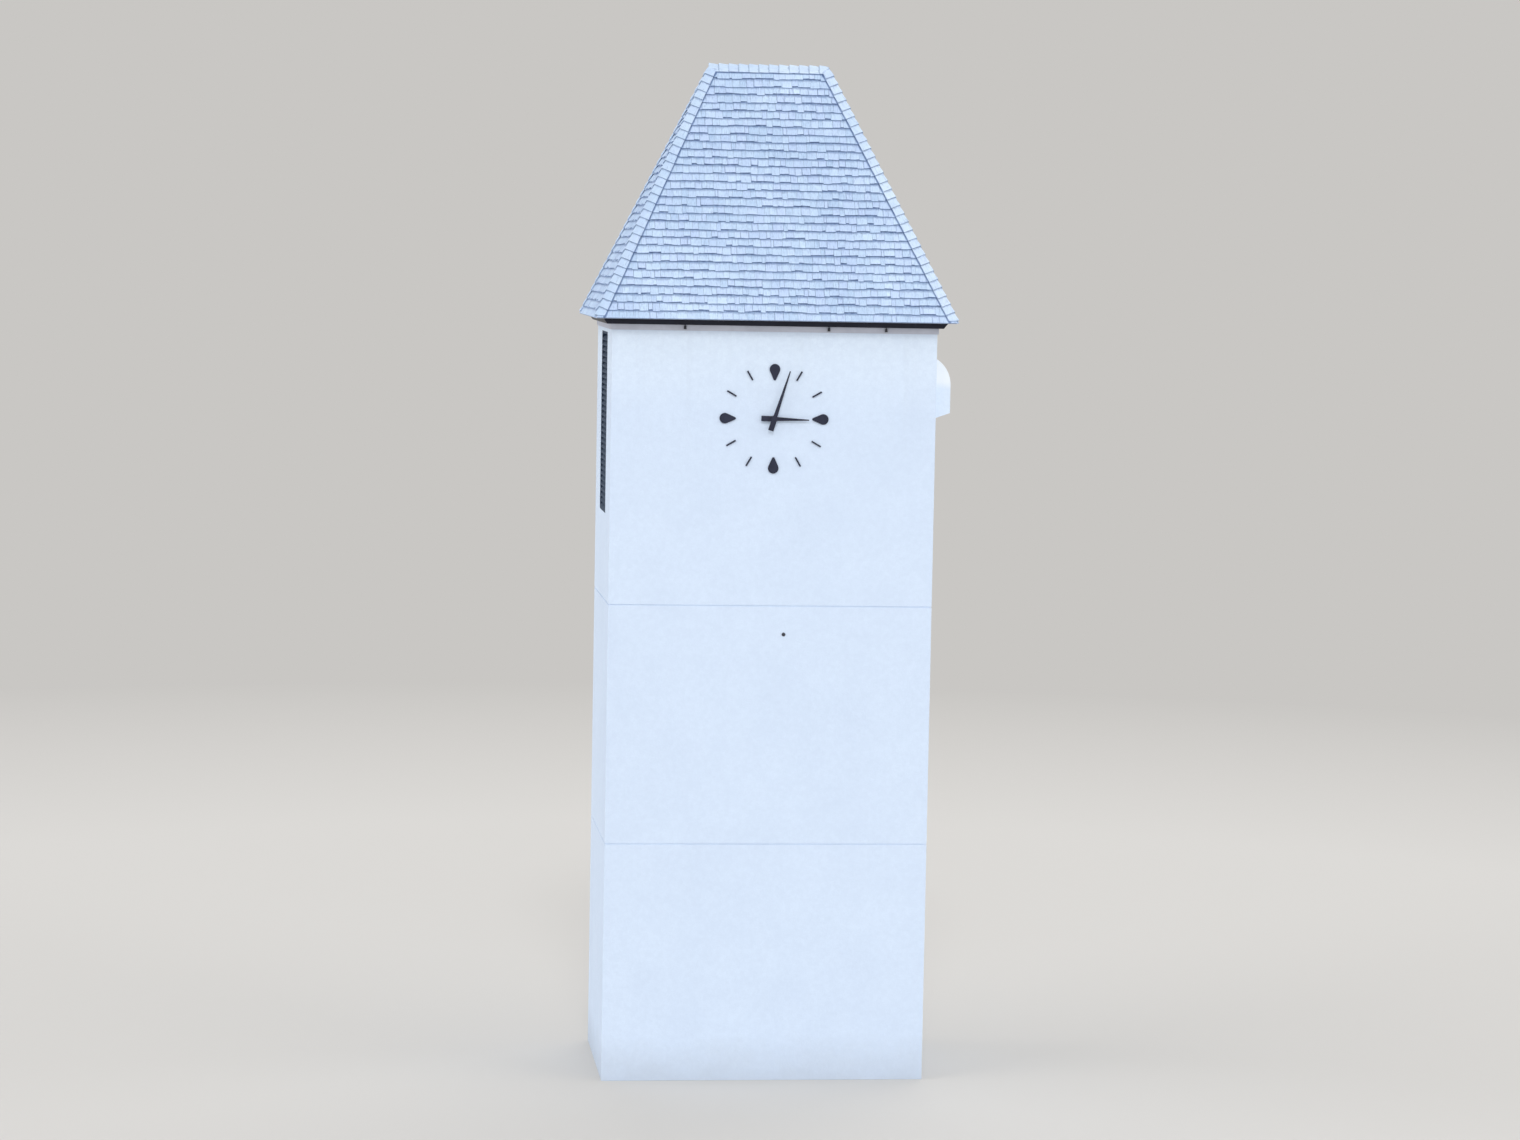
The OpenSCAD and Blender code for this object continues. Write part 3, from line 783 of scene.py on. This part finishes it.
caps = {
    "Coverage": 1.30,
    "Wing": shingles["Cap Wing"],
    "Lift": 0.023,
    "Butt": 0.022,
    "Tip Thickness": 0.005,
    "Uneven": 0.010,
}
capHabits = {
    "cuts": (7, 3, 2),
    "wingShares": (0.95, 1.04),
    "buttShares": (0.9, 1.12),
    "secondWing": 500.0,  # keeps the draws of the two wings apart
    "lowestShare": 0.3,  # of the lift that the lowest cap keeps under it
    "middleGap": 0.002,
    "edgeMargin": 0.03,
}


def makeCapTree():
    habits = capHabits
    settings = {
        **caps, "Count": 1, "Spacing": 0.1, "Run": 1.0, "Foot Cut": 0.0, "Middle Stop": 1.0,
        "Tone Low": 0.0, "Tone High": 1.0}
    axes = {label: (0.0, 0.0, 0.0) for label in (
        "Start", "Along", "First Out", "First Normal", "Second Out", "Second Normal", "Mitre")}
    tree, given = startShapeTree("bentCaps", {**settings, **axes, "Seed": 1, "Material": "wood"})
    blocks = countedBlocks(tree, given["Count"], habits["cuts"])
    number = readField(tree, "blockNumber")
    across, upShare, depth = splitVector(tree, readField(tree, "blockCorner", "FLOAT_VECTOR"))
    aboveFirst = number.atMost(1.0)
    seed = given["Seed"]
    # The middle points are the fold, and the others lie on the first slope or on the second
    sideways = across * 2.0 - 1.0
    isFirst = sideways.maths("LESS_THAN", -0.1)
    isSecond = sideways.maths("GREATER_THAN", 0.1)
    isFold = (isFirst + isSecond).rest()
    wing = number + isSecond * habits["secondWing"]
    distance = sideways.maths("ABSOLUTE") * given["Wing"]
    distance = distance * randomField(tree, *habits["wingShares"], wing, seed)
    lean = randomField(tree, -0.5, 0.5, number, seed + 1) * given["Uneven"] * sideways
    step = randomField(tree, -0.4, 0.4, number, seed + 2) * given["Uneven"]
    foot = number * given["Spacing"] + (lean + step) * aboveFirst
    along = foot + given["Spacing"] * given["Coverage"] * upShare
    along = along.atLeast(distance * given["Foot Cut"]).atMost(given["Run"])
    nextFoot = (number + 1.0) * given["Spacing"]
    thickness = given["Butt"] * randomField(tree, *habits["buttShares"], number, seed + 3)
    topAtFoot = given["Tip Thickness"] + given["Butt"] * given["Coverage"]
    top = topAtFoot.mixTo(given["Tip Thickness"], upShare)
    under = (topAtFoot - thickness) * upShare.rest()
    # The lowest cap comes down to the shingles
    drop = aboveFirst * (1.0 - habits["lowestShare"]) + habits["lowestShare"]
    height = ((given["Lift"] + under) * drop).mixTo(given["Lift"] + top, depth)

    place = given["Start"].plus(given["Along"].times(along))
    for label, here in (("First", isFirst), ("Second", isSecond)):
        outward = given[label + " Out"].times(distance)
        place = place.plus(outward.plus(given[label + " Normal"].times(height)).times(here))
    place = place.plus(given["Mitre"].times(height).times(isFold))
    x, y, z = splitVector(tree, place)
    # On the end slopes the caps of two hips meet at the middle line
    stop = given["Middle Stop"]
    y = y.mixTo((y * stop).atLeast(habits["middleGap"]) * stop, stop.maths("ABSOLUTE"))

    toSide = given["Wing"] - distance
    # besideEdge also places the painted shade along the side edges of each cap
    marked = keepFields(tree, blocks, {
        "woodTone": randomField(tree, given["Tone Low"], given["Tone High"], number, seed + 4),
        "woodHue": randomField(tree, 0.0, 1.0, wing, seed + 5),
        "fromButt": along - foot,
        "fromSide": toSide,
        "belowNext": nextFoot - along,
        "besideEdge": toSide + habits["edgeMargin"],
    })
    marked = keepGrain(tree, marked, distance, along, height, wing, seed + 6)
    endShapeTree(tree, movePoints(tree, marked, joinVector(tree, x, y, z)), given["Material"])
    return tree


capTree = makeCapTree()


# first is the slope on the left hand of someone who looks up the line from outside
def layCaps(name, start, end, first, second, changes, replaced):
    run = (end - start).length
    along = (end - start) / run
    outward = []
    for slope in (first, second):
        level = along.cross(slope["normal"]).normalized()
        centre = slope["origin"] + slope["up"] * tower["slopeLength"] / 3
        outward.append(level if level.dot(centre - start) > 0 else -level)
    mitre = (first["normal"] + second["normal"]) / (1 + first["normal"].dot(second["normal"]))
    count = round(run / changes["Spacing"])
    piece = growPiece(name, capTree, {
        **caps, **changes, "Count": count, "Spacing": run / count, "Run": run,
        "Start": tuple(start), "Along": tuple(along), "Mitre": tuple(mitre),
        "First Out": tuple(outward[0]), "First Normal": tuple(first["normal"]),
        "Second Out": tuple(outward[1]), "Second Normal": tuple(second["normal"]),
        "Material": finishes["paleCapShingle"],
    })
    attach(piece, "tower")
    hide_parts(replaced)
    print("caps", name, len(piece.data.polygons), "faces")


# Painted light: the caps on the right are painted paler than those on the left, as on the side that the
# light falls on, and the ridge is the palest
capEnds = {
    "hipFoot": 0.030,
    "ridgePast": 0.030,
}
hips = {
    "front_left": {"x": -1, "y": -1, "first": "left", "second": "front", "seed": 3, "tone": (0.0, 0.5)},
    "front_right": {"x": 1, "y": -1, "first": "front", "second": "right", "seed": 5, "tone": (0.7, 1.5)},
    "back_right": {"x": 1, "y": 1, "first": "right", "second": "back", "seed": 7, "tone": (0.7, 1.5)},
    "back_left": {"x": -1, "y": 1, "first": "back", "second": "left", "seed": 9, "tone": (0.0, 0.5)},
}
ridge = {
    "Spacing": 0.200,
    "Wing": shingles["Ridge Wing"],
    "Lift": 0.016,
    "Butt": 0.012,
    "Tone Low": 1.1,
    "Tone High": 1.7,
    "Foot Cut": 0.0,
    "Middle Stop": 0.0,
    "Seed": 13,
}
for label, hip in hips.items():
    corner = Vector((hip["x"] * halfX, hip["y"] * halfY, tower["eaveZ"]))
    head = Vector((hip["x"] * tower["ridgeHalf"], 0, tower["ridgeZ"]))
    start = corner + (head - corner).normalized() * capEnds["hipFoot"]
    layCaps("hip_caps_" + label, start, head, slopes[hip["first"]], slopes[hip["second"]], {
        "Spacing": shingles["Exposure"] * tower["hipLength"] / tower["slopeLength"],
        "Foot Cut": halfY / tower["slopeLength"],
        "Middle Stop": float(hip["y"]), "Tone Low": hip["tone"][0], "Tone High": hip["tone"][1],
        "Seed": hip["seed"],
    }, "hip_cap_" + label)
ridgeEnd = Vector((tower["ridgeHalf"] + capEnds["ridgePast"], 0, 0))
ridgeMiddle = Vector((0, 0, tower["ridgeZ"]))
layCaps("ridge_caps", ridgeMiddle - ridgeEnd, ridgeMiddle + ridgeEnd, slopes["back"], slopes["front"],
        ridge, "ridge_cap")


# Drip edge: a folded metal strip under the lowest course, all round the eave

dripEdge = {
    "thickness": 0.003,
    "drop": 0.013,
    "stand": 0.004,
    "lip": 0.001,
    "flange": 0.070,
}


def makeDripEdge():
    eave = tower["eaveZ"]
    face = tower["eaveOut"] + dripEdge["stand"]
    inner = face - dripEdge["thickness"]
    back = dripEdge["flange"] * tower["cosPitch"]
    rise = dripEdge["flange"] * tower["sinPitch"]
    foot = eave - dripEdge["drop"]
    section = [
        (inner, foot),
        (face, foot),
        (face, eave + dripEdge["lip"]),
        (face - back, eave + rise),
        (inner - back, eave + rise),
        (inner, eave),
    ]
    built = bmesh.new()
    rings = []
    for signX, signY in ((-1, -1), (1, -1), (1, 1), (-1, 1)):
        ring = []
        for away, z in section:
            x = signX * (away + tower["wallHalfX"])
            y = signY * (away - tower["wallFrontY"])
            ring.append(built.verts.new((x, y, z)))
        rings.append(ring)
    for ring, following in zip(rings, rings[1:] + rings[:1]):
        for point in range(len(section)):
            after = (point + 1) % len(section)
            built.faces.new((ring[point], following[point], following[after], ring[after]))
    bmesh.ops.recalc_face_normals(built, faces=built.faces)
    mesh = bpy.data.meshes.new("drip_edge")
    built.to_mesh(mesh)
    built.free()
    mesh.materials.append(finishes["dripEdgePaint"])
    piece = bpy.data.objects.new("drip_edge", mesh)
    scene.collection.objects.link(piece)
    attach(piece, "tower")


makeDripEdge()
print("roof covering: done")


# Floor, background, lights and camera

stage = {
    "halfFloor": 450.0,
    "floorZ": -0.002,
    "pale": paint(201, 199, 196),
    "roughness": 0.9,
    "plainRadius": 34.0,
    "fadeRadius": 70.0,
    "sky": 0.63,
}
suns = {
    "keySun": {"strength": 0.78, "softness": 12, "from": (-0.06, -0.77, 0.63)},
    "frontSun": {"strength": 0.32, "softness": 50, "from": (0.05, -0.95, 0.20)},
    "leftSun": {"strength": 1.14, "softness": 60, "from": (-0.95, -0.15, 0.45)},
    "rightSun": {"strength": 0.80, "softness": 60, "from": (1.00, -0.35, 0.45)},
    "backSun": {"strength": 0.85, "softness": 60, "from": (0.35, 0.90, 0.45)},
}


def mixShaders(tree, share, first, second, leave):
    blend = tree.nodes.new("ShaderNodeMixShader")
    plug(tree, share, blend.inputs[0])
    tree.links.new(first.outputs[0], blend.inputs[1])
    tree.links.new(second.outputs[0], blend.inputs[2])
    tree.links.new(blend.outputs[0], leave.inputs["Surface"])


def makeFloor():
    half = stage["halfFloor"]
    points = [(-half, -half, 0), (half, -half, 0), (half, half, 0), (-half, half, 0)]
    mesh = bpy.data.meshes.new("floor")
    mesh.from_pydata(points, [], [(0, 1, 2, 3)])
    floor = bpy.data.objects.new("floor", mesh)
    floor.location.z = stage["floorZ"]
    scene.collection.objects.link(floor)
    material, tree, shader, place = startFinish("paleFloor", stage["roughness"])
    shader.inputs["Base Color"].default_value = stage["pale"]
    # Far from the tower the floor turns into the plain background, so that no edge shows
    x, y = splitVector(tree, place)[:2]
    away = joinVector(tree, x, y, 0.0).vectorMaths("LENGTH")
    glow = addNode(tree, "ShaderNodeEmission", {"Color": stage["pale"], "Strength": 1.0})
    seen = wireOf(tree, tree.nodes.new("ShaderNodeLightPath"), "Is Camera Ray")
    share = away.ramp(stage["plainRadius"], stage["fadeRadius"]) * seen
    mixShaders(tree, share, shader, glow, tree.nodes["Material Output"])
    mesh.materials.append(material)


def makeWorld():
    world = bpy.data.worlds.new("studio")
    scene.world = world
    world.use_nodes = True
    tree = world.node_tree
    tree.nodes.clear()
    white = (1.0, 1.0, 1.0, 1.0)
    light = addNode(tree, "ShaderNodeBackground", {"Color": white, "Strength": stage["sky"]})
    shown = addNode(tree, "ShaderNodeBackground", {"Color": stage["pale"], "Strength": 1.0})
    path = tree.nodes.new("ShaderNodeLightPath")
    seen = wireOf(tree, path, "Is Camera Ray").atLeast(wireOf(tree, path, "Is Glossy Ray"))
    seen = seen.atLeast(wireOf(tree, path, "Is Transmission Ray"))
    mixShaders(tree, seen, light, shown, tree.nodes.new("ShaderNodeOutputWorld"))


def addSun(name, settings):
    lamp = bpy.data.lights.new(name, "SUN")
    lamp.energy = settings["strength"]
    lamp.angle = math.radians(settings["softness"])
    sun = bpy.data.objects.new(name, lamp)
    sun.rotation_mode = "QUATERNION"
    sun.rotation_quaternion = Vector(settings["from"]).to_track_quat("Z", "Y")
    scene.collection.objects.link(sun)


# The photograph's own station point, with a longer lens so that the whole tower fills the picture
photo = {
    "width": 1520.0,
    "distance": 80.6,
    "azimuth": -6.3,
    "height": 16.75,
    "lean": 0.018,
    "lensPixels": 3950.0,
    "aimZ": 10.15,
    "sensor": 36.0,
    "clipEnd": 2000.0,
}


def placeCamera():
    camera = bpy.data.objects.new("camera", bpy.data.cameras.new("camera"))
    turn = math.radians(photo["azimuth"])
    away = photo["distance"]
    camera.location = (math.sin(turn) * away, -math.cos(turn) * away, photo["height"])
    facing = (Vector((0, 0, photo["aimZ"])) - camera.location).to_track_quat("-Z", "Y")
    camera.rotation_mode = "QUATERNION"
    camera.rotation_quaternion = facing @ Quaternion((0, 0, 1), photo["lean"])
    camera.data.sensor_width = photo["sensor"]
    camera.data.lens = photo["sensor"] * photo["lensPixels"] / photo["width"]
    camera.data.clip_end = photo["clipEnd"]
    scene.collection.objects.link(camera)
    scene.camera = camera


makeFloor()
makeWorld()
for name, settings in suns.items():
    addSun(name, settings)
placeCamera()
scene.view_settings.view_transform = "Standard"
print("stage: done")
